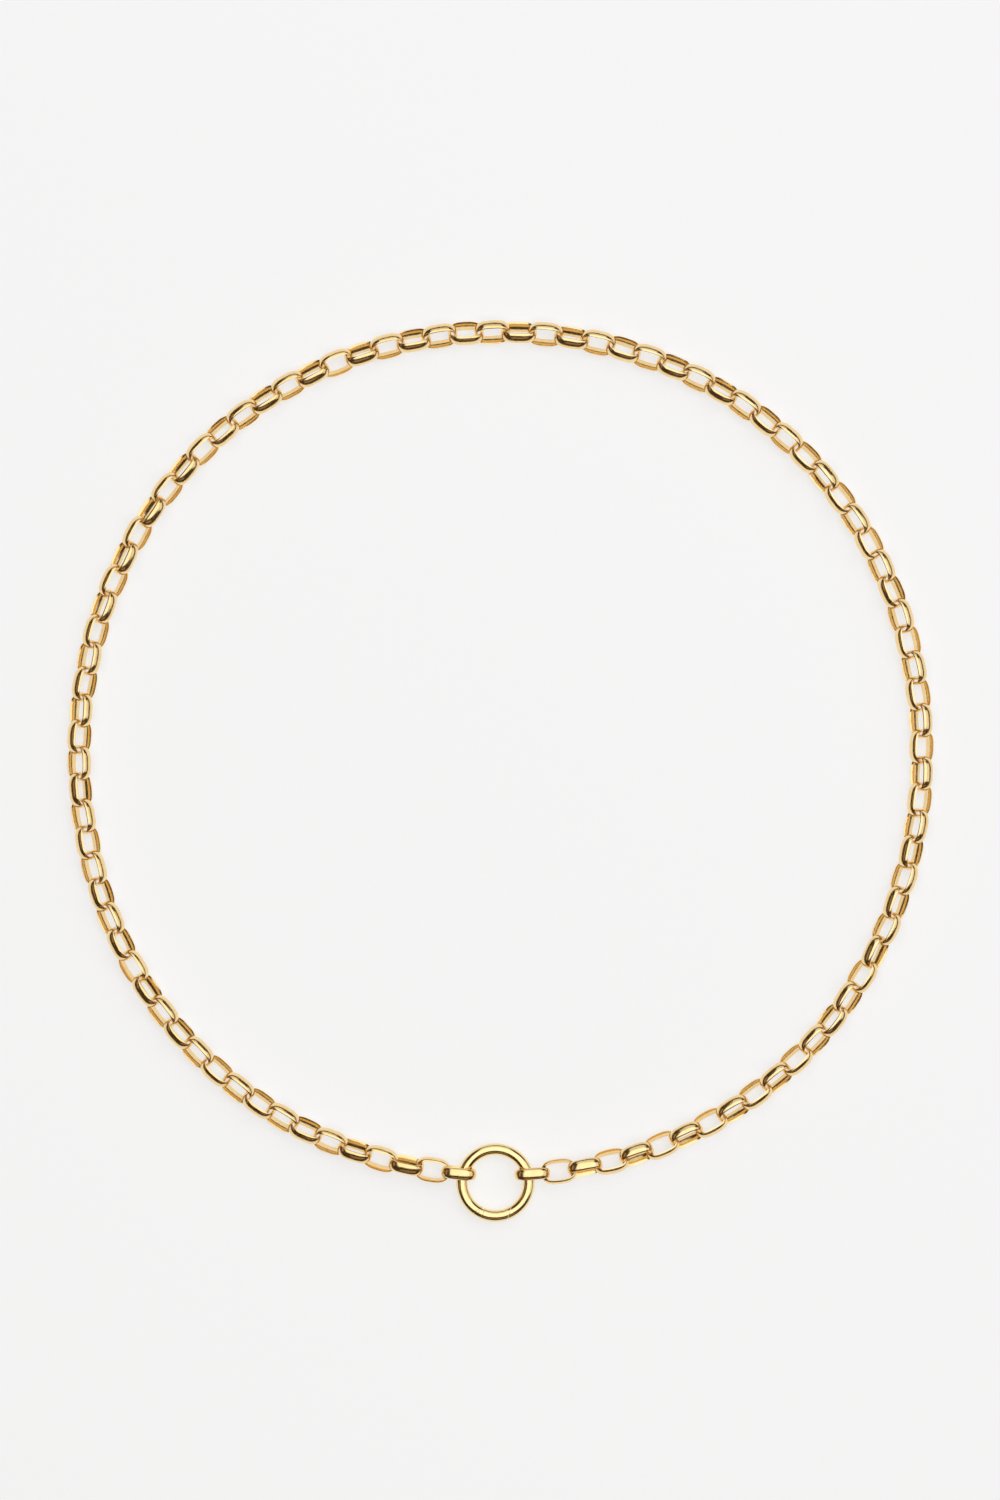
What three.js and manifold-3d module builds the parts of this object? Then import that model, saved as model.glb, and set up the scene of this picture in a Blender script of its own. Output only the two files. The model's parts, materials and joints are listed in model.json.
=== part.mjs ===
// Belcher chain necklace lying flat in a loop, closed by a push-gate ring clasp.
// Millimetres, +Z up. The clasp is at the -Y end, and the lowest links touch Z = 0.
import * as THREE from "three";
import { mergeVertices } from "three/addons/utils/BufferGeometryUtils.js";
import Module from "manifold-3d";

const wasm = await Module();
wasm.setup();

// ---- Driving dimensions: chain ----
const LINKS_PER_SIDE = 49;
const PITCH = 4.475; // from one link's centre to the next
const LINK_LENGTH = 5.7; // outside, along the chain
const LINK_WIDTH = 4.3; // outside, across the chain
const BAND_WIDTH = 1.6;
const BAND_THICKNESS = 0.42;
const BAND_FLAT = 0.8; // flat part of the band's inner face
const BAND_EDGE = 0.24; // from the inner face to the band's widest point
const LINK_SEGMENTS = 12;

// ---- Driving dimensions: how the chain lies ----
const FIRST_LINK_ANGLE = 5.0; // degrees round the loop from the clasp to the first link
const LOOP_SQUARENESS = 0.34; // the loop bulges this much at its four diagonals
const LEAN = 40; // degrees that each link is rolled, in turn one way and the other
const CLASP_TWIST = 45; // extra roll of the link that stands on the clasp ring
const TWIST_RELEASE = 2; // pairs of links over which that extra roll dies away
const RISE_RELEASE = 7; // links over which the chain sinks from that link's height to its own
const LAST_SINGLE_LINK = 6; // links after this one are joined two by two
const PAIR_STRETCH = 0.22; // extra distance that presses the two links of a pair together
const SINGLE_SHIFT = 0.04; // evens out the play between the single links near the clasp

// ---- Driving dimensions: clasp ----
const RING_RADIUS = 5.6; // to the middle of the wire
const WIRE_RADIUS = 1.0;
const WIRE_SIDES = 12;
const RING_DROP = 1.55; // the ring's centre is this far below the first links' centres
const RING_SAG = 0.4; // and this far under them in height
const PIN_ANGLE = -121; // the gate's hinge pin, in degrees round the ring
const SEAM_ANGLE = -64; // the gate's free end
const SEAM_SLANT = 16; // degrees that the seam leans from +Y, so that the gate opens inwards only
const SEAM_GAP = 0.06;
const HORN_TRIM = 0.66; // the gate's full section starts this far from its pin
const PIN_RADIUS = 0.25;
const PIN_LENGTH = 1.9;
const PIN_SIDES = 16;
const RUNNING_GAP = 0.05;
const FIXED_GAP = 0.02;
const KNUCKLE_RADIUS = 0.94;
const KNUCKLE_SIDES = 24;
const TONGUE_THICKNESS = 0.7;
const TONGUE_RADIUS = 0.72;
const SLOT_WIDTH = 0.8;
const SPRING_THICKNESS = 0.14;
const SPRING_WIDTH = 0.6;
const SPRING_START = -129.5; // degrees round the ring
const SPRING_END = -152;
const SPRING_POCKET = 0.5; // the pocket's size across the wire
const POCKET_SPARE = 1; // degrees that the pocket runs on past the spring
const SEAM_SPARE = 12; // degrees that the wire runs past the seam before it is cut there
const KNUCKLE_SPARE = 15; // degrees of wire to each side of the pin that the knuckle is turned from
const TONGUE_LENGTH = 1.2;
const WIRE_STEP = 7.2; // degrees from one section of the round wire to the next, at most
const STRIP_STEP = 4; // and of the strips

const MERGE_DISTANCE = 1e-5; // vertices closer than this are one

const rad = THREE.MathUtils.degToRad;
const LOOP_STEP = (180 - FIRST_LINK_ANGLE) / (LINKS_PER_SIDE - 0.5);
const LOOP_RADIUS = PITCH / 2 / Math.sin(rad(LOOP_STEP / 2));

const chainGold = new THREE.MeshStandardMaterial({
  name: "chain_gold", color: 0xe2ae5c, metalness: 1, roughness: 0.22,
});
const claspGold = new THREE.MeshStandardMaterial({
  name: "clasp_gold", color: 0xdcb665, metalness: 1, roughness: 0.16,
});
const springSteel = new THREE.MeshStandardMaterial({
  name: "spring_steel", color: 0x9a9a98, metalness: 1, roughness: 0.35,
});

// ---- Solids ----

// A closed geometry without normals or doubled vertices, as a solid that can be joined and cut.
function solid(geometry) {
  const plain = geometry.clone();
  plain.deleteAttribute("normal");
  plain.deleteAttribute("uv");
  const merged = mergeVertices(plain, MERGE_DISTANCE);
  return new wasm.Manifold(new wasm.Mesh({
    numProp: 3,
    vertProperties: new Float32Array(merged.attributes.position.array),
    triVerts: new Uint32Array(merged.index.array),
  }));
}

function geometryOf(manifold) {
  const mesh = manifold.getMesh();
  const geometry = new THREE.BufferGeometry();
  geometry.setAttribute("position", new THREE.BufferAttribute(mesh.vertProperties, 3));
  geometry.setIndex(new THREE.BufferAttribute(mesh.triVerts, 1));
  return geometry;
}

function addMesh(group, name, geometry, material) {
  const mesh = new THREE.Mesh(geometry, material);
  mesh.name = name;
  group.add(mesh);
  return mesh;
}

// ---- Chain ----

// The band's section: [across the band, distance from the link's long axis], flat inside, domed outside.
const bandInside = LINK_WIDTH / 2 - BAND_THICKNESS;
const bandSection = [
  [-BAND_FLAT / 2, bandInside],
  [-BAND_WIDTH / 2, bandInside + BAND_EDGE],
  [0, LINK_WIDTH / 2],
  [BAND_WIDTH / 2, bandInside + BAND_EDGE],
  [BAND_FLAT / 2, bandInside],
];

// One oval link in the XY plane: the section turned round a circle, whose halves are then drawn
// apart along X, so that it gets two straight sides.
function linkGeometry() {
  const profile = bandSection.map(([across, radius]) => new THREE.Vector2(radius, across));
  profile.push(profile[0].clone());
  const turn = (2 * Math.PI) / LINK_SEGMENTS;
  const geometry = new THREE.LatheGeometry(profile, LINK_SEGMENTS, turn / 2);
  geometry.rotateX(Math.PI / 2);
  const stretch = (LINK_LENGTH - LINK_WIDTH) / 2;
  const position = geometry.attributes.position;
  for (let i = 0; i < position.count; i += 1) {
    position.setX(i, position.getX(i) + Math.sign(position.getX(i)) * stretch);
  }
  return geometry;
}

// How far a link reaches above and below its centre at a roll in radians.
function halfHeight(roll) {
  const reach = bandSection.map(
    ([across, radius]) => radius * Math.abs(Math.sin(roll)) + Math.abs(across * Math.cos(roll)),
  );
  return Math.max(...reach);
}

// Each link leans the other way from the last, on top of a twist that the clasp puts in the chain.
function rollOf(index) {
  const leaning = index % 2 === 0 ? LEAN : -LEAN;
  const pairsFromClasp = Math.floor(index / 2);
  return rad(leaning - CLASP_TWIST * Math.exp(-pairsFromClasp / TWIST_RELEASE));
}

// The height of a link's centre: the link on the clasp stands up, which lifts its neighbours.
function heightOf(index) {
  const lying = halfHeight(rad(LEAN));
  return lying + (halfHeight(rollOf(1)) - lying) * Math.exp(-(index - 1) / RISE_RELEASE);
}

// How far a link lies past its even place. The links of a pair are drawn apart, so that their
// bands press together; the single links are shifted the same way, but less.
function shiftOf(index) {
  if (index === 1 || index === LINKS_PER_SIDE) {
    return 0;
  }
  const shift = index > LAST_SINGLE_LINK ? PAIR_STRETCH / 2 : SINGLE_SHIFT;
  return index % 2 === 0 ? shift : -shift;
}

// Where a link lies: its index counts from the clasp, and side is 1 for +X and -1 for -X.
// The -X side is the +X side turned half a turn about Y.
function linkPlace(side, index) {
  const angle = rad(FIRST_LINK_ANGLE + (index - 1) * LOOP_STEP) + shiftOf(index) / LOOP_RADIUS;
  const radius = LOOP_RADIUS - LOOP_SQUARENESS * Math.cos(4 * angle);
  const slope = 4 * LOOP_SQUARENESS * Math.sin(4 * angle);
  const along = new THREE.Vector3(
    side * (radius * Math.cos(angle) + slope * Math.sin(angle)),
    radius * Math.sin(angle) - slope * Math.cos(angle),
    0,
  ).normalize();
  const outward = new THREE.Vector3(side * along.y, -side * along.x, 0);
  const roll = side * rollOf(index);
  const across = outward.multiplyScalar(Math.cos(roll)).setZ(Math.sin(roll));
  const normal = new THREE.Vector3().crossVectors(along, across);
  const place = new THREE.Matrix4().makeBasis(along, across, normal);
  place.setPosition(side * radius * Math.sin(angle), -radius * Math.cos(angle), heightOf(index));
  return place;
}

// Links are numbered round the loop from the clasp's +X side, 1 to 98.
function linkNumber(side, index) {
  return side > 0 ? index : 2 * LINKS_PER_SIDE + 1 - index;
}

function twoDigits(number) {
  return String(number).padStart(2, "0");
}

function addSingleLink(group, link, side, index) {
  const name = `link_${twoDigits(linkNumber(side, index))}`;
  addMesh(group, name, link, chainGold).applyMatrix4(linkPlace(side, index));
}

function addLinkPair(group, link, side, index) {
  const place = linkPlace(side, index);
  const step = place.clone().invert().multiply(linkPlace(side, index + 1));
  const joined = solid(link).add(solid(link.clone().applyMatrix4(step)));
  const numbers = [linkNumber(side, index), linkNumber(side, index + 1)].sort((a, b) => a - b);
  const name = `links_${numbers.map(twoDigits).join("_")}`;
  addMesh(group, name, geometryOf(joined), chainGold).applyMatrix4(place);
}

function makeChain() {
  const chain = new THREE.Group();
  const link = linkGeometry();
  for (const side of [1, -1]) {
    for (let index = 1; index <= LAST_SINGLE_LINK; index += 1) {
      addSingleLink(chain, link, side, index);
    }
    for (let index = LAST_SINGLE_LINK + 1; index < LINKS_PER_SIDE; index += 2) {
      addLinkPair(chain, link, side, index);
    }
    addSingleLink(chain, link, side, LINKS_PER_SIDE);
  }
  return chain;
}

// ---- Clasp, round its own centre in the XY plane ----

class RingArc extends THREE.Curve {
  constructor(start, end) {
    super();
    this.start = rad(start);
    this.end = rad(end);
  }

  getPoint(t, target = new THREE.Vector3()) {
    const angle = this.start + t * (this.end - this.start);
    return target.set(Math.cos(angle), Math.sin(angle), 0).multiplyScalar(RING_RADIUS);
  }
}

function ringPoint(angle) {
  return new RingArc(angle, angle).getPoint(0);
}

// Round wire, with flats facing up and down, along the ring from one angle to another.
function wire(start, end) {
  const outline = new THREE.Shape();
  const corners = WIRE_RADIUS / Math.cos(Math.PI / WIRE_SIDES);
  for (let i = 0; i < WIRE_SIDES; i += 1) {
    const angle = ((i + 0.5) * 2 * Math.PI) / WIRE_SIDES;
    outline[i === 0 ? "moveTo" : "lineTo"](corners * Math.cos(angle), corners * Math.sin(angle));
  }
  outline.closePath();
  const steps = Math.ceil((end - start) / WIRE_STEP);
  const geometry = new THREE.ExtrudeGeometry(outline, {
    steps, extrudePath: new RingArc(start, end), bevelEnabled: false,
  });
  return solid(geometry);
}

// A round bar along Z, with its middle at a point of the ring.
function bar(angle, radius, length, sides) {
  const geometry = new THREE.CylinderGeometry(radius, radius, length, sides);
  geometry.rotateX(Math.PI / 2);
  const place = ringPoint(angle);
  geometry.translate(place.x, place.y, 0);
  return solid(geometry);
}

// A box whose near face stands on a point of the ring, reaching away from it in a direction in degrees.
function blockFrom(angle, direction, length, width, height) {
  const geometry = new THREE.BoxGeometry(length, width, height);
  geometry.translate(length / 2, 0, 0);
  geometry.rotateZ(rad(direction));
  const place = ringPoint(angle);
  geometry.translate(place.x, place.y, 0);
  return solid(geometry);
}

const CUTTER = 4 * WIRE_RADIUS;
const pinForwards = PIN_ANGLE + 90; // the way the gate leaves its pin
const seamNormal = -SEAM_SLANT; // from the gate's free end into the ring

function seamBlock(direction, gap) {
  const block = blockFrom(SEAM_ANGLE, direction, CUTTER, CUTTER, CUTTER);
  const move = new THREE.Vector3(Math.cos(rad(direction)), Math.sin(rad(direction)), 0);
  return block.translate(gap * move.x, gap * move.y, 0);
}

// The body of the ring: its end at the hinge is a knuckle, forked by a slot for the gate's tongue.
function ringBody() {
  const longWire = wire(SEAM_ANGLE - SEAM_SPARE, 360 + PIN_ANGLE);
  const round = bar(PIN_ANGLE, KNUCKLE_RADIUS, 2 * CUTTER, KNUCKLE_SIDES);
  const knuckle = wire(PIN_ANGLE - KNUCKLE_SPARE, PIN_ANGLE + KNUCKLE_SPARE).intersect(round);
  const slot = bar(PIN_ANGLE, TONGUE_RADIUS + RUNNING_GAP, SLOT_WIDTH, KNUCKLE_SIDES)
    .add(blockFrom(PIN_ANGLE, pinForwards, CUTTER, CUTTER, SLOT_WIDTH));
  return longWire
    .add(knuckle)
    .subtract(seamBlock(seamNormal + 180, 0))
    .subtract(slot)
    .subtract(springPocket())
    .subtract(bar(PIN_ANGLE, PIN_RADIUS + FIXED_GAP, 2 * CUTTER, PIN_SIDES));
}

// The gate: a length of the same wire, hollowed round the knuckle, with a tongue in its slot.
function ringGate() {
  const clear = bar(PIN_ANGLE, KNUCKLE_RADIUS + RUNNING_GAP, 2 * CUTTER, KNUCKLE_SIDES);
  const behind = blockFrom(PIN_ANGLE, pinForwards + 180, CUTTER, CUTTER, CUTTER)
    .translate(HORN_TRIM * Math.cos(rad(pinForwards)), HORN_TRIM * Math.sin(rad(pinForwards)), 0);
  const tongue = bar(PIN_ANGLE, TONGUE_RADIUS, TONGUE_THICKNESS, KNUCKLE_SIDES)
    .add(blockFrom(PIN_ANGLE, pinForwards, TONGUE_LENGTH, 2 * TONGUE_RADIUS, TONGUE_THICKNESS));
  return wire(PIN_ANGLE, SEAM_ANGLE + SEAM_SPARE)
    .subtract(clear)
    .subtract(behind)
    .add(tongue)
    .subtract(seamBlock(seamNormal, -SEAM_GAP))
    .subtract(bar(PIN_ANGLE, PIN_RADIUS + RUNNING_GAP, 2 * CUTTER, PIN_SIDES));
}

// A flat strip bent along the middle of the wire.
function strip(start, end, thickness, width) {
  const outline = new THREE.Shape();
  outline.moveTo(-width / 2, -thickness / 2);
  outline.lineTo(width / 2, -thickness / 2);
  outline.lineTo(width / 2, thickness / 2);
  outline.lineTo(-width / 2, thickness / 2);
  outline.closePath();
  const steps = Math.ceil((end - start) / STRIP_STEP);
  return solid(new THREE.ExtrudeGeometry(outline, {
    steps, extrudePath: new RingArc(start, end), bevelEnabled: false,
  }));
}

function springPocket() {
  return strip(SPRING_END - POCKET_SPARE, PIN_ANGLE, SPRING_POCKET, SLOT_WIDTH);
}

function makeClasp() {
  const clasp = new THREE.Group();
  addMesh(clasp, "ring_body", geometryOf(ringBody()), claspGold);
  addMesh(clasp, "ring_gate", geometryOf(ringGate()), claspGold);
  const pin = bar(PIN_ANGLE, PIN_RADIUS, PIN_LENGTH, PIN_SIDES);
  addMesh(clasp, "gate_pin", geometryOf(pin), claspGold);
  const spring = strip(SPRING_END, SPRING_START, SPRING_THICKNESS, SPRING_WIDTH);
  addMesh(clasp, "gate_spring", geometryOf(spring), springSteel);
  const firstLink = new THREE.Vector3().setFromMatrixPosition(linkPlace(1, 1));
  clasp.position.set(0, firstLink.y - RING_DROP, firstLink.z - RING_SAG);
  return clasp;
}

// ---- Assembly: the origin is under the middle of the whole necklace ----

const necklace = new THREE.Group();
necklace.name = "chain_necklace";
necklace.add(makeChain(), makeClasp());
const extent = new THREE.Box3().setFromObject(necklace, true);
const middle = extent.getCenter(new THREE.Vector3());
necklace.position.set(-middle.x, -middle.y, -extent.min.z);

export default necklace;
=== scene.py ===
"""Looks for a belcher chain necklace with a push-gate ring clasp, lying flat on a pale floor."""

import json
import math
import random

import bmesh
import bpy
from mathutils import Matrix, Vector


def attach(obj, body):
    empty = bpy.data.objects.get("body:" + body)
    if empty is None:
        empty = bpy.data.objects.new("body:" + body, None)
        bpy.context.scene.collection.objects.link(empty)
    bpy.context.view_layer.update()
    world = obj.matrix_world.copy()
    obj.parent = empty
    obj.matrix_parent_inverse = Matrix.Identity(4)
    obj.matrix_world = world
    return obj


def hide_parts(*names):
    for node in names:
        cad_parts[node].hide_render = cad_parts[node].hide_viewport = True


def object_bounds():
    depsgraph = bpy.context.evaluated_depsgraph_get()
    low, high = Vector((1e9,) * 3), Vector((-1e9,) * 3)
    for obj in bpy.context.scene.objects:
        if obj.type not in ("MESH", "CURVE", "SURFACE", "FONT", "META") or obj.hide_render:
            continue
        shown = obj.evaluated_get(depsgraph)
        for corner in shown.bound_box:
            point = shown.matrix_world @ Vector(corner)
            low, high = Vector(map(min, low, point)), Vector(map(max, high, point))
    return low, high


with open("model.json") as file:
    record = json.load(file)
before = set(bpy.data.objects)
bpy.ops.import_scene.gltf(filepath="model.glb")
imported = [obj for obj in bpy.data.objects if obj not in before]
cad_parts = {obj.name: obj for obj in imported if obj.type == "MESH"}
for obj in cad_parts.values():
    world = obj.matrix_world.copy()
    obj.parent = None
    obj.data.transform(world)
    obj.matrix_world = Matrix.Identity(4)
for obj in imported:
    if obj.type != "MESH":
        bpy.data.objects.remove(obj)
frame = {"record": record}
cad_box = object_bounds()
scene = bpy.context.scene
MM = 0.001
OWN_PLACE = "own_place"  # the point attribute that surface patterns read
LINK_SMOOTH = 50  # degrees between faces up to which their shading runs on
CLASP_SMOOTH = 30

# ---- The chain, as the CAD part lays it ----
LINKS_PER_SIDE = 49
PITCH = 4.475 * MM
FIRST_LINK_ANGLE = 5.0  # degrees round the loop from the clasp
LOOP_SQUARENESS = 0.34 * MM  # how far the loop swells from a circle, four times round
LEAN = 42  # degrees that the links are rolled, in turn one way and the other
CLASP_TWIST = 45  # degrees more, at the clasp, where the first link stands on edge
TWIST_RELEASE = 2  # pairs of links over which that twist dies away
RISE_RELEASE = 7  # links over which the chain comes down from the clasp's height
LAST_SINGLE_LINK = 6  # past this one, two links share a CAD body
CAD_BAND_CORNERS = ((0.4 * MM, 1.73 * MM), (0.8 * MM, 1.97 * MM), (0.0, 2.15 * MM))  # (across, out)
LOOP_STEP = (180 - FIRST_LINK_ANGLE) / (LINKS_PER_SIDE - 0.5)  # degrees from one link to the next
LOOP_RADIUS = PITCH / 2 / math.sin(math.radians(LOOP_STEP / 2))

# ---- One link ----
LINK_LENGTH = 6.06 * MM
LINK_WIDTH = 4.28 * MM
BAND_WIDTH = 2.0 * MM
BAND_THICKNESS = 0.72 * MM
END_THICKNESS = 0.61 * MM  # round the ends, where links hang in each other
BAND_EDGE = 0.26 * MM  # from the inner face's middle to the widest point
INNER_CROWN = 2.6  # how late the inner face turns from flat to its edges
OVAL_STEPS = 64  # round the link
DOME_STEPS = 12  # across the domed face
INNER_STEPS = 8  # across the inner face
TANGENT_STEP = 0.01  # radians on each side of a point, to find which way the band runs there
OVAL_POWER = 0.66  # 1 for an ellipse, less for a squarer oval
END_NARROWING = 0.16  # how much narrower the band is round the ends
ROLL_PLAY = 4.0  # degrees, at most, that a link lies off the chain's own twist
TWIST_STEP = 5.5  # degrees, at most, that the twist changes from one link to the next
TWIST_LIMIT = 12.0
TWIST_KEPT = 0.75  # how much of the twist one link passes on to the next
YAW_PLAY = 2.5  # degrees, at most, that a link turns in the floor's plane
CLASP_LINKS = 3  # links that the clasp's ring holds steadier
CLASP_PLAY = 0.2  # the share of all this play that those links have
SIZE_PLAY = 0.012  # the share of its length and width that a link may lack
PLAY_SEED = 18
LAST_RAISED_LINK = 8  # links from the second up to this one are held off the floor by the clasp
STANDING_LINKS = (1, 3)  # the steepest, counted from the clasp
STANDING_FIT = 0.975  # their width beside the others

# ---- Clasp ----
RING_RADIUS = 5.6 * MM  # to the wire's middle
CAD_WIRE_RADIUS = 1.0 * MM
WIRE_RADIUS = 0.985 * MM
RING_DROP = 1.55 * MM  # from the first links' middles down to the ring's centre
PIN_ANGLE = -121  # degrees round the ring, from +X
SEAM_ANGLE = -64
SEAM_SLANT = 16  # degrees that the seam is cut off square
SEAM_GAP = 0.06 * MM
SEAM_SPARE = 12  # degrees of wire made past the seam, then cut away
RING_STEPS = 132  # round the ring body
GATE_STEPS = 40
PIN_RADIUS = 0.25 * MM
PIN_LENGTH = 1.9 * MM
PIN_HEAD = 0.06 * MM  # height of the rounding at each end
PIN_TIP, PIN_SHOULDER = 0.55, 0.9  # radii on the way over that rounding, as shares of the pin's
PIN_SIDES = 32
RUNNING_GAP = 0.05 * MM
FIXED_GAP = 0.02 * MM
KNUCKLE_RADIUS = 0.94 * MM
KNUCKLE_START, KNUCKLE_END = PIN_ANGLE - 3, PIN_ANGLE + 15  # degrees round the ring
KNUCKLE_STEPS = 12
TONGUE_THICKNESS = 0.7 * MM
TONGUE_RADIUS = 0.72 * MM
TONGUE_LENGTH = 1.2 * MM
SLOT_WIDTH = 0.8 * MM
HORN_TRIM = 0.66 * MM  # how far in front of the pin the full-width gate starts
WIRE_SIDES = 48
GOLD_EDGE = 0.035 * MM  # rounding of the clasp's cut edges
STEEL_EDGE = 0.02 * MM
EDGE_SEGMENTS = 3
SHARP_FROM = 38  # degrees between two faces whose edge is rounded
SPRING_THICKNESS = 0.14 * MM
SPRING_WIDTH = 0.6 * MM
SPRING_START = -129.5  # degrees round the ring
SPRING_END = -152
SPRING_STEPS = 24
SPRING_POCKET = 0.5 * MM  # the pocket's width across the wire
POCKET_SPARE = 1  # degrees of pocket past the spring's end
POCKET_STEPS = 10

ring_back = Vector(frame["record"]["mounts"][0]["pos_m"])  # on the wire's underside, at the ring's top
RING_CENTRE = ring_back + Vector((0, -RING_RADIUS, CAD_WIRE_RADIUS))


# ---- Materials: patterns are sized in cells a metre, reliefs in metres ----

TONE_SCALE = 420
TONE_RANGE = (0.35, 0.7)  # the part of the pattern over which the gold goes from light to deep
POLISH_SCALE = 1500
POLISH_STRETCH = (1, 3, 3)
POLISH_RANGE = (0.3, 0.75)
POLISH_LOSS = 0.12  # how much rougher the dullest places are
SWELL_SCALE = 700
SWELL_STRENGTH = 0.5
SWELL_DEPTH = 0.045 * MM
LINE_SCALE = 2600
LINE_STRETCH = (0.25, 4, 4)  # long along the band, close together across it
LINE_DEPTH = 0.006 * MM
STEEL_COLOUR = (0.52, 0.51, 0.49)
ROLLING_SCALE = 5000
ROLLING_STRETCH = (1, 1, 6)
ROLLING_RANGE = (0.3, 0.7)
ROLLING_DEPTH = 0.005 * MM
STEEL_ROUGHNESS = (0.25, 0.45)


def new_material(name):
    """An empty material, with its nodes and their links."""
    material = bpy.data.materials.new(name)
    material.use_nodes = True
    return material, material.node_tree.nodes, material.node_tree.links


def add_noise(nodes, links, scale, detail, stretch=(1, 1, 1)):
    """Noise in a piece's own coordinates, the closer along each axis the higher its stretch."""
    coordinates = nodes.new("ShaderNodeAttribute")
    coordinates.attribute_name = OWN_PLACE
    mapping = nodes.new("ShaderNodeMapping")
    mapping.inputs["Scale"].default_value = stretch
    noise = nodes.new("ShaderNodeTexNoise")
    noise.inputs["Scale"].default_value = scale
    noise.inputs["Detail"].default_value = detail
    links.new(coordinates.outputs["Vector"], mapping.inputs["Vector"])
    links.new(mapping.outputs["Vector"], noise.inputs["Vector"])
    return noise


def add_range(nodes, links, noise, before, after):
    """Noise taken from one range of values to another."""
    node = nodes.new("ShaderNodeMapRange")
    node.inputs["From Min"].default_value, node.inputs["From Max"].default_value = before
    node.inputs["To Min"].default_value, node.inputs["To Max"].default_value = after
    links.new(noise.outputs["Fac"], node.inputs["Value"])
    return node


def add_bump(nodes, links, noise, strength, depth):
    """Relief that follows noise."""
    bump = nodes.new("ShaderNodeBump")
    bump.inputs["Strength"].default_value = strength
    bump.inputs["Distance"].default_value = depth
    links.new(noise.outputs["Fac"], bump.inputs["Height"])
    return bump


def polished_gold(name, colour, deep_colour, roughness, wear):
    """Polished gold: cloudy tone, varying polish, fine lines from handling, a softly uneven surface."""
    material, nodes, links = new_material(name)
    shader = nodes["Principled BSDF"]
    shader.inputs["Metallic"].default_value = 1.0

    tone = add_noise(nodes, links, TONE_SCALE, 3)
    mix = nodes.new("ShaderNodeMix")
    mix.data_type = "RGBA"
    mix.inputs["A"].default_value = (*colour, 1)
    mix.inputs["B"].default_value = (*deep_colour, 1)
    amount = add_range(nodes, links, tone, TONE_RANGE, (0.0, 1.0))
    links.new(amount.outputs["Result"], mix.inputs["Factor"])
    links.new(mix.outputs["Result"], shader.inputs["Base Color"])

    polish = add_noise(nodes, links, POLISH_SCALE, 4, POLISH_STRETCH)
    rough = add_range(nodes, links, polish, POLISH_RANGE, (roughness, roughness + POLISH_LOSS))
    links.new(rough.outputs["Result"], shader.inputs["Roughness"])

    swell = add_noise(nodes, links, SWELL_SCALE, 1)
    lines = add_noise(nodes, links, LINE_SCALE, 5, LINE_STRETCH)
    low = add_bump(nodes, links, swell, SWELL_STRENGTH, SWELL_DEPTH)
    fine = add_bump(nodes, links, lines, wear, LINE_DEPTH)
    links.new(low.outputs["Normal"], fine.inputs["Normal"])
    links.new(fine.outputs["Normal"], shader.inputs["Normal"])
    return material


def spring_steel(name):
    """Grey spring strip with rolling lines along it."""
    material, nodes, links = new_material(name)
    shader = nodes["Principled BSDF"]
    shader.inputs["Metallic"].default_value = 1.0
    shader.inputs["Base Color"].default_value = (*STEEL_COLOUR, 1)
    lines = add_noise(nodes, links, ROLLING_SCALE, 3, ROLLING_STRETCH)
    rough = add_range(nodes, links, lines, ROLLING_RANGE, STEEL_ROUGHNESS)
    links.new(rough.outputs["Result"], shader.inputs["Roughness"])
    bump = add_bump(nodes, links, lines, 1.0, ROLLING_DEPTH)
    links.new(bump.outputs["Normal"], shader.inputs["Normal"])
    return material


CHAIN_GOLD = polished_gold("chain_gold_polished", (0.98, 0.76, 0.41), (0.94, 0.66, 0.29), 0.13, 0.35)
CLASP_GOLD = polished_gold("clasp_gold_polished", (0.98, 0.79, 0.42), (0.95, 0.73, 0.35), 0.11, 0.2)
SPRING_STEEL = spring_steel("spring_steel_strip")


# ---- Meshes ----

def mesh_object(name, verts, faces, material):
    """A piece in the scene, made from points and faces."""
    mesh = bpy.data.meshes.new(name)
    mesh.from_pydata([tuple(v) for v in verts], [], faces)
    mesh.update()
    piece = bpy.data.objects.new(name, mesh)
    scene.collection.objects.link(piece)
    mesh.materials.append(material)
    return piece


def smooth(piece, angle):
    """Smooth shading, but for edges past an angle in degrees."""
    piece.data.shade_smooth()
    piece.data.set_sharp_from_angle(angle=math.radians(angle))


def band_section():
    """Points round the band: (across, out from the inner face), domed outside, flatter inside."""
    half = BAND_WIDTH / 2
    points = []
    for i in range(DOME_STEPS + 1):
        turn = math.pi * i / DOME_STEPS - math.pi / 2
        rise = (BAND_THICKNESS - BAND_EDGE) * math.cos(turn)
        points.append((half * math.sin(turn), BAND_EDGE + rise))
    for i in range(1, INNER_STEPS):
        across = 1 - 2 * i / INNER_STEPS
        points.append((half * across, BAND_EDGE * abs(across) ** INNER_CROWN))
    return points


def oval_point(turn, half_length, half_width):
    """A point of the link's inner outline, an oval squarer than an ellipse."""
    along, across = math.cos(turn), math.sin(turn)
    return Vector((half_length * math.copysign(abs(along) ** OVAL_POWER, along),
                   half_width * math.copysign(abs(across) ** OVAL_POWER, across), 0))


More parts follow.
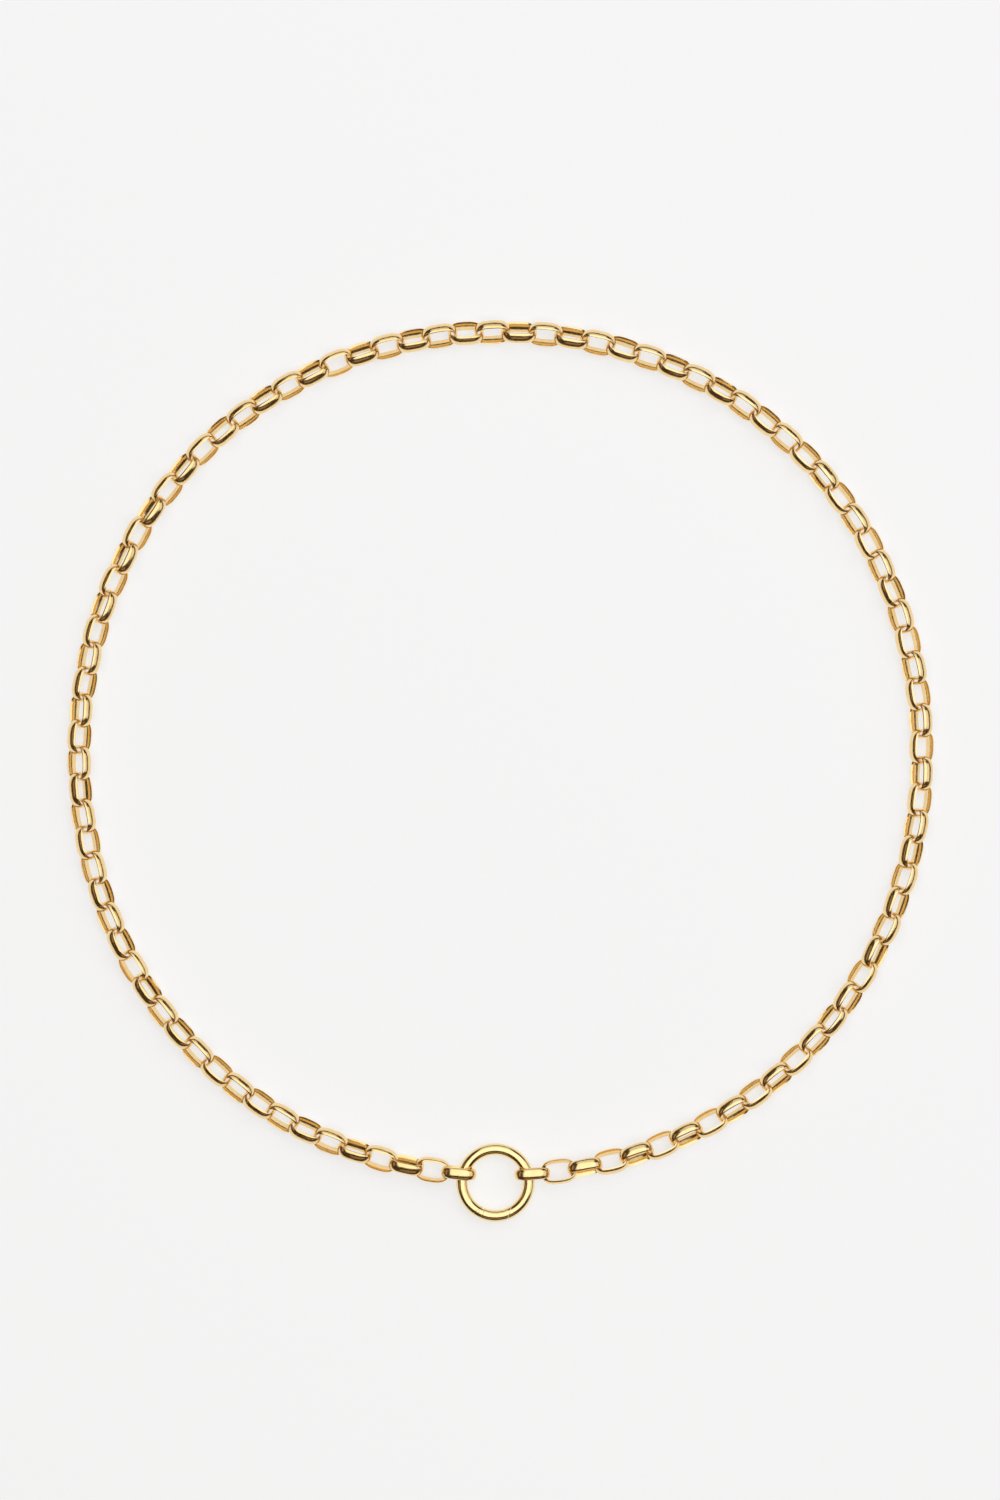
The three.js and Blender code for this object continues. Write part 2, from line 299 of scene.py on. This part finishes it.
def link_piece(name, place, fit, random_source):
    """One oval link: X of its place runs along the chain, Y across it and Z through its hole."""
    length = LINK_LENGTH * (1 - random_source.uniform(0, SIZE_PLAY))
    width = LINK_WIDTH * (1 - random_source.uniform(0, SIZE_PLAY)) * fit
    half_length = length / 2 - END_THICKNESS
    half_width = width / 2 - BAND_THICKNESS
    section = band_section()
    verts, faces = [], []
    for step in range(OVAL_STEPS):
        turn = 2 * math.pi * step / OVAL_STEPS
        here = oval_point(turn, half_length, half_width)
        ahead = oval_point(turn + TANGENT_STEP, half_length, half_width)
        tangent = ahead - oval_point(turn - TANGENT_STEP, half_length, half_width)
        out = Vector((tangent.y, -tangent.x, 0)).normalized()
        at_end = math.cos(turn) ** 2
        breadth = 1 - END_NARROWING * at_end
        depth = 1 - (1 - END_THICKNESS / BAND_THICKNESS) * at_end
        verts += [here + out * depth * rise + Vector((0, 0, breadth * across)) for across, rise in section]
    size = len(section)
    for step in range(OVAL_STEPS):
        for i in range(size):
            a, b = step * size, (step + 1) % OVAL_STEPS * size
            j = (i + 1) % size
            faces.append((a + i, b + i, b + j, a + j))
    piece = mesh_object(name, verts, faces, CHAIN_GOLD)
    keep_own_coordinates(piece)
    piece.data.transform(place)
    smooth(piece, LINK_SMOOTH)
    return piece


def keep_own_coordinates(piece):
    """Stores each point's place in the piece's own axes, for the surface pattern."""
    own = piece.data.attributes.new(OWN_PLACE, "FLOAT_VECTOR", "POINT")
    flat = [0.0] * (3 * len(piece.data.vertices))
    piece.data.vertices.foreach_get("co", flat)
    own.data.foreach_set("vector", flat)


def lift_from_floor(piece, raised):
    """Sets a link on the floor, or only lifts it out of the floor where the clasp holds it up."""
    lowest = min(v.co.z for v in piece.data.vertices)
    if lowest < 0 or not raised:
        piece.data.transform(Matrix.Translation((0, 0, -lowest)))


def keep_inside(piece):
    """Moves a link in by what it stands proud of the CAD model's outline."""
    for axis in (0, 1):
        reach = [v.co[axis] for v in piece.data.vertices]
        move = Vector((0, 0, 0))
        move[axis] = max(0.0, cad_box[0][axis] - min(reach)) - max(0.0, max(reach) - cad_box[1][axis])
        piece.data.transform(Matrix.Translation(move))


# ---- Chain ----

def half_height(roll):
    """How far the CAD link reaches above its centre at a roll."""
    up, level = abs(math.sin(roll)), abs(math.cos(roll))
    return max(out * up + across * level for across, out in CAD_BAND_CORNERS)


def roll_of(index):
    """How far a link of the +X side is rolled about the chain, in radians."""
    leaning = LEAN if index % 2 == 0 else -LEAN
    return math.radians(leaning - CLASP_TWIST * math.exp(-(index // 2) / TWIST_RELEASE))


def height_of(index):
    """The height of a link's middle, falling away from the clasp."""
    lying = half_height(math.radians(LEAN))
    return lying + (half_height(roll_of(1)) - lying) * math.exp(-(index - 1) / RISE_RELEASE)


def loop_point(index):
    """A link's place across and along the loop, and the way the chain runs there, on the +X side."""
    angle = math.radians(FIRST_LINK_ANGLE + (index - 1) * LOOP_STEP)
    radius = LOOP_RADIUS - LOOP_SQUARENESS * math.cos(4 * angle)
    slope = 4 * LOOP_SQUARENESS * math.sin(4 * angle)
    place = Vector((radius * math.sin(angle), -radius * math.cos(angle), 0))
    along = Vector((radius * math.cos(angle) + slope * math.sin(angle),
                    radius * math.sin(angle) - slope * math.cos(angle), 0))
    return place, along.normalized()


LOOP_CENTRE_Y = RING_CENTRE.y + RING_DROP - loop_point(1)[0].y


def link_matrix(side, index, roll_play, yaw_play):
    """A link's place: side is 1 for the +X side and -1 for its mirror image."""
    place, along = loop_point(index)
    along.x *= side
    outward = Vector((side * along.y, -side * along.x, 0))
    yaw = Matrix.Rotation(math.radians(yaw_play), 3, "Z")
    along, outward = yaw @ along, yaw @ outward
    roll = side * roll_of(index) + math.radians(roll_play)
    across = outward * math.cos(roll) + Vector((0, 0, math.sin(roll)))
    normal = along.cross(across)
    matrix = Matrix((along, across, normal)).transposed().to_4x4()
    matrix.translation = (side * place.x, place.y + LOOP_CENTRE_Y, height_of(index))
    return matrix


def link_body(side, index):
    """The CAD body, which is also the CAD node, that a link belongs to."""
    def number(i):
        """A link's number round the whole loop."""
        return i if side > 0 else 2 * LINKS_PER_SIDE + 1 - i
    if index <= LAST_SINGLE_LINK or index == LINKS_PER_SIDE:
        return f"link_{number(index):02d}"
    first = index if index % 2 else index - 1
    low, high = sorted((number(first), number(first + 1)))
    return f"links_{low:02d}_{high:02d}"


def make_chain():
    """All 98 links, each with a little play of its own, and tied to its CAD body."""
    random_source = random.Random(PLAY_SEED)
    for side in (1, -1):
        twist = 0.0
        for index in range(1, LINKS_PER_SIDE + 1):
            number = index if side > 0 else 2 * LINKS_PER_SIDE + 1 - index
            calm = CLASP_PLAY if index <= CLASP_LINKS else 1.0
            twist = TWIST_KEPT * twist + random_source.uniform(-TWIST_STEP, TWIST_STEP)
            twist = max(-TWIST_LIMIT, min(TWIST_LIMIT, twist))
            roll_play = calm * (twist + random_source.uniform(-ROLL_PLAY, ROLL_PLAY))
            yaw_play = calm * random_source.uniform(-YAW_PLAY, YAW_PLAY)
            place = link_matrix(side, index, roll_play, yaw_play)
            fit = STANDING_FIT if index in STANDING_LINKS else 1.0
            piece = link_piece(f"gold_link_{number:02d}", place, fit, random_source)
            lift_from_floor(piece, 1 < index <= LAST_RAISED_LINK)
            keep_inside(piece)
            body = link_body(side, index)
            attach(piece, body)
            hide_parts(body)


# ---- Clasp ----

def ring_point(angle, radius=RING_RADIUS):
    """A point at an angle in degrees round the ring, about the ring's own centre."""
    turn = math.radians(angle)
    return Vector((radius * math.cos(turn), radius * math.sin(turn), 0))


def arc_sweep(name, start, end, steps, section, material):
    """A closed solid: a section of (outwards, up) points swept round the ring from one angle to another."""
    verts, faces = [], []
    for step in range(steps + 1):
        angle = start + (end - start) * step / steps
        out = ring_point(angle, 1.0)
        centre = ring_point(angle)
        verts += [centre + out * a + Vector((0, 0, b)) for a, b in section]
    size = len(section)
    for step in range(steps):
        for i in range(size):
            j = (i + 1) % size
            a, b = step * size, (step + 1) * size
            faces.append((a + i, a + j, b + j, b + i))
    faces.append(tuple(reversed(range(size))))
    faces.append(tuple(range(steps * size, (steps + 1) * size)))
    piece = mesh_object(name, verts, faces, material)
    mend_normals(piece)
    return piece


def mend_normals(piece):
    """Turns all faces outwards."""
    bm = bmesh.new()
    bm.from_mesh(piece.data)
    bmesh.ops.recalc_face_normals(bm, faces=bm.faces)
    bm.to_mesh(piece.data)
    bm.free()


def round_wire(name, start, end, steps):
    """An arc of the ring's round wire."""
    section = []
    for i in range(WIRE_SIDES):
        turn = 2 * math.pi * i / WIRE_SIDES
        section.append((WIRE_RADIUS * math.cos(turn), WIRE_RADIUS * math.sin(turn)))
    return arc_sweep(name, start, end, steps, section, CLASP_GOLD)


def bar(name, angle, radius, length):
    """A round bar standing on a point of the ring."""
    bm = bmesh.new()
    bmesh.ops.create_cone(bm, cap_ends=True, segments=WIRE_SIDES, depth=length,
                          radius1=radius, radius2=radius)
    bmesh.ops.translate(bm, verts=bm.verts, vec=ring_point(angle))
    return bm_object(name, bm)


def block(name, angle, direction, length, width, height, start=0.0):
    """A box reaching away from a point of the ring, from start on, in a direction in degrees."""
    bm = bmesh.new()
    bmesh.ops.create_cube(bm, size=1.0)
    bmesh.ops.scale(bm, verts=bm.verts, vec=(length, width, height))
    bmesh.ops.translate(bm, verts=bm.verts, vec=(length / 2 + start, 0, 0))
    turn = Matrix.Rotation(math.radians(direction), 3, "Z")
    bmesh.ops.rotate(bm, verts=bm.verts, cent=(0, 0, 0), matrix=turn)
    bmesh.ops.translate(bm, verts=bm.verts, vec=ring_point(angle))
    return bm_object(name, bm)


def bm_object(name, bm):
    """A piece of clasp gold in the scene, made from a bmesh that is then freed."""
    mesh = bpy.data.meshes.new(name)
    bm.to_mesh(mesh)
    bm.free()
    piece = bpy.data.objects.new(name, mesh)
    scene.collection.objects.link(piece)
    mesh.materials.append(CLASP_GOLD)
    return piece


def apply_modifiers(piece):
    """Puts what a piece's modifiers make in place of its mesh."""
    graph = bpy.context.evaluated_depsgraph_get()
    mesh = bpy.data.meshes.new_from_object(piece.evaluated_get(graph))
    old = piece.data
    piece.modifiers.clear()
    piece.data = mesh
    bpy.data.meshes.remove(old)


def combine(piece, tool, operation):
    """Joins a tool to a piece, or cuts or clips the piece with it, and removes the tool."""
    modifier = piece.modifiers.new("combine", "BOOLEAN")
    modifier.operation = operation
    modifier.solver = "EXACT"
    modifier.object = tool
    bpy.context.view_layer.update()
    apply_modifiers(piece)
    bpy.data.objects.remove(tool)
    return piece


def soften(piece, width):
    """Rounds a piece's sharp edges."""
    bevel = piece.modifiers.new("bevel", "BEVEL")
    bevel.width = width
    bevel.segments = EDGE_SEGMENTS
    bevel.limit_method = "ANGLE"
    bevel.angle_limit = math.radians(SHARP_FROM)
    bevel.harden_normals = False
    bpy.context.view_layer.update()
    apply_modifiers(piece)


CUTTER = 4 * WIRE_RADIUS  # size of the tools that cut right through the wire
GATE_WAY = PIN_ANGLE + 90  # the way the gate leaves its pin, in degrees


def strip_section(thickness, height):
    """Corners of a flat strip that stands on its edge in the ring's wire."""
    half, tall = thickness / 2, height / 2
    return [(-half, -tall), (half, -tall), (half, tall), (-half, tall)]


def ring_body():
    """The open ring: forked round the pin, with the pocket for the spring and the slanted seam."""
    piece = round_wire("clasp_ring", SEAM_ANGLE - SEAM_SPARE, 360 + PIN_ANGLE, RING_STEPS)
    knuckle = round_wire("knuckle", KNUCKLE_START, KNUCKLE_END, KNUCKLE_STEPS)
    combine(knuckle, bar("round_end", PIN_ANGLE, KNUCKLE_RADIUS, CUTTER), "INTERSECT")
    combine(piece, knuckle, "UNION")
    combine(piece, block("seam", SEAM_ANGLE, 180 - SEAM_SLANT, CUTTER, CUTTER, CUTTER), "DIFFERENCE")
    slot = bar("slot_end", PIN_ANGLE, TONGUE_RADIUS + RUNNING_GAP, SLOT_WIDTH)
    combine(slot, block("slot", PIN_ANGLE, GATE_WAY, CUTTER, CUTTER, SLOT_WIDTH), "UNION")
    combine(piece, slot, "DIFFERENCE")
    section = strip_section(SPRING_POCKET, SLOT_WIDTH)
    pocket = arc_sweep("pocket", SPRING_END - POCKET_SPARE, PIN_ANGLE, POCKET_STEPS, section, CLASP_GOLD)
    combine(piece, pocket, "DIFFERENCE")
    combine(piece, bar("pin_hole", PIN_ANGLE, PIN_RADIUS + FIXED_GAP, CUTTER), "DIFFERENCE")
    return piece


def ring_gate():
    """The arc that swings, with the tongue that turns on the pin."""
    piece = round_wire("clasp_gate", PIN_ANGLE, SEAM_ANGLE + SEAM_SPARE, GATE_STEPS)
    clear = bar("clear", PIN_ANGLE, KNUCKLE_RADIUS + RUNNING_GAP, CUTTER)
    combine(piece, clear, "DIFFERENCE")
    behind = block("behind", PIN_ANGLE, GATE_WAY + 180, CUTTER, CUTTER, CUTTER, -HORN_TRIM)
    combine(piece, behind, "DIFFERENCE")
    tongue = bar("tongue", PIN_ANGLE, TONGUE_RADIUS, TONGUE_THICKNESS)
    neck = block("neck", PIN_ANGLE, GATE_WAY, TONGUE_LENGTH, 2 * TONGUE_RADIUS, TONGUE_THICKNESS)
    combine(tongue, neck, "UNION")
    combine(piece, tongue, "UNION")
    seam = block("seam", SEAM_ANGLE, -SEAM_SLANT, CUTTER, CUTTER, CUTTER, -SEAM_GAP)
    combine(piece, seam, "DIFFERENCE")
    combine(piece, bar("pin_hole", PIN_ANGLE, PIN_RADIUS + RUNNING_GAP, CUTTER), "DIFFERENCE")
    return piece


def gate_pin():
    """The hinge pin, with its two ends rounded over."""
    bm = bmesh.new()
    top = PIN_LENGTH / 2
    rings = [
        (PIN_RADIUS * PIN_TIP, top),
        (PIN_RADIUS * PIN_SHOULDER, top - PIN_HEAD / 3),
        (PIN_RADIUS, top - PIN_HEAD),
    ]
    rings += [(radius, -height) for radius, height in reversed(rings)]
    loops = []
    for radius, height in rings:
        turns = [2 * math.pi * i / PIN_SIDES for i in range(PIN_SIDES)]
        loops.append([bm.verts.new((radius * math.cos(t), radius * math.sin(t), height)) for t in turns])
    for upper, lower in zip(loops, loops[1:]):
        for i in range(PIN_SIDES):
            j = (i + 1) % PIN_SIDES
            bm.faces.new((upper[i], lower[i], lower[j], upper[j]))
    bm.faces.new(loops[0])
    bm.faces.new(list(reversed(loops[-1])))
    bmesh.ops.recalc_face_normals(bm, faces=bm.faces)
    bmesh.ops.translate(bm, verts=bm.verts, vec=ring_point(PIN_ANGLE))
    return bm_object("clasp_pin", bm)


def gate_spring():
    """The leaf spring in its pocket."""
    section = strip_section(SPRING_THICKNESS, SPRING_WIDTH)
    return arc_sweep("clasp_spring", SPRING_END, SPRING_START, SPRING_STEPS, section, SPRING_STEEL)


def make_clasp():
    """The clasp's four pieces, each tied to its CAD body and node."""
    makers = (
        (ring_body, "ring", "ring_body", "clasp_gold", GOLD_EDGE),
        (ring_gate, "gate", "ring_gate", "clasp_gold", GOLD_EDGE),
        (gate_pin, "ring", "gate_pin", "clasp_gold", 0.0),
        (gate_spring, "ring", "gate_spring", "spring_steel", STEEL_EDGE),
    )
    for make, body, node, slot, edge in makers:
        piece = make()
        if edge:
            soften(piece, edge)
        smooth(piece, CLASP_SMOOTH)
        keep_own_coordinates(piece)
        piece.data.transform(Matrix.Translation(RING_CENTRE))
        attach(piece, body)
        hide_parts(node)


# ---- Floor, light and camera ----

FLOOR_REACH = 3  # metres from the middle
FLOOR_TONE = (0.445, 0.455, 0.47)
FLOOR_GLOW = 0.625
WARM = (1.0, 0.72, 0.45)
ROOM_COLOUR = (1.0, 0.62, 0.3)
ROOM_STRENGTH = 0.05


def make_floor():
    """A pale floor, mostly lit from within, so that shadows on it stay faint."""
    material, nodes, _ = new_material("floor_pale")
    shader = nodes["Principled BSDF"]
    shader.inputs["Base Color"].default_value = (*FLOOR_TONE, 1)
    shader.inputs["Roughness"].default_value = 0.9
    shader.inputs["Specular IOR Level"].default_value = 0.0
    shader.inputs["Emission Color"].default_value = (1, 1, 1, 1)
    shader.inputs["Emission Strength"].default_value = FLOOR_GLOW
    corners = [(FLOOR_REACH * x, FLOOR_REACH * y, 0) for x, y in ((-1, -1), (1, -1), (1, 1), (-1, 1))]
    floor = mesh_object("floor", corners, [(0, 1, 2, 3)], material)


def make_panel(name, place, aim, size, brightness, colour=(1, 1, 1)):
    """A rectangular light of an even brightness, turned towards a point, in metres."""
    light = bpy.data.lights.new(name, "AREA")
    light.shape = "RECTANGLE"
    light.size, light.size_y = size
    light.energy = brightness * math.pi * size[0] * size[1]
    light.color = colour
    lamp = bpy.data.objects.new(name, light)
    scene.collection.objects.link(lamp)
    lamp.location = place
    lamp.rotation_euler = (Vector(aim) - Vector(place)).to_track_quat("-Z", "Y").to_euler()


def make_lights():
    """Bright panels above, right and behind, dim warm ones left and in front, and a dark room."""
    make_panel("panel_above", (0.35, 0.4, 1.6), (0.35, 0.4, 0), (2.3, 2.3), 1.3)
    make_panel("panel_right", (2.0, 0.2, 1.2), (0, 0, 0), (2.2, 1.2), 0.85)
    make_panel("panel_back", (0.0, 2.0, 1.2), (0, 0, 0), (2.2, 1.2), 0.75)
    make_panel("panel_left", (-2.0, 0.2, 1.35), (0, 0, 0), (2.0, 0.7), 0.3, WARM)
    make_panel("panel_front", (0.2, -2.0, 1.35), (0, 0, 0), (2.0, 0.7), 0.25, WARM)
    world = bpy.data.worlds.new("studio")
    world.use_nodes = True
    background = world.node_tree.nodes["Background"]
    background.inputs["Color"].default_value = (*ROOM_COLOUR, 1)
    background.inputs["Strength"].default_value = ROOM_STRENGTH
    scene.world = world


VIEW_HEIGHT = 252.2 * MM  # what the long side of the picture takes in
CAMERA_HEIGHT = 1.1  # metres
CAMERA_SHIFT_Y = 3.55 * MM
CAMERA_SHIFT_X = -0.1 * MM
CAMERA_ROLL = 0.69  # degrees
SENSOR = 36.0  # millimetres
CLIP = (0.05, 10)  # metres


def make_camera():
    """A camera straight above, a little aside and turned, as the photo was taken."""
    data = bpy.data.cameras.new("camera")
    data.sensor_width = SENSOR
    data.sensor_fit = "AUTO"
    data.lens = SENSOR / (VIEW_HEIGHT / CAMERA_HEIGHT)
    data.clip_start, data.clip_end = CLIP
    camera = bpy.data.objects.new("camera", data)
    scene.collection.objects.link(camera)
    camera.location = (CAMERA_SHIFT_X, CAMERA_SHIFT_Y, CAMERA_HEIGHT)
    camera.rotation_euler = (0, 0, math.radians(CAMERA_ROLL))
    scene.camera = camera


scene.view_settings.view_transform = "Standard"
make_chain()
make_clasp()
make_floor()
make_lights()
make_camera()
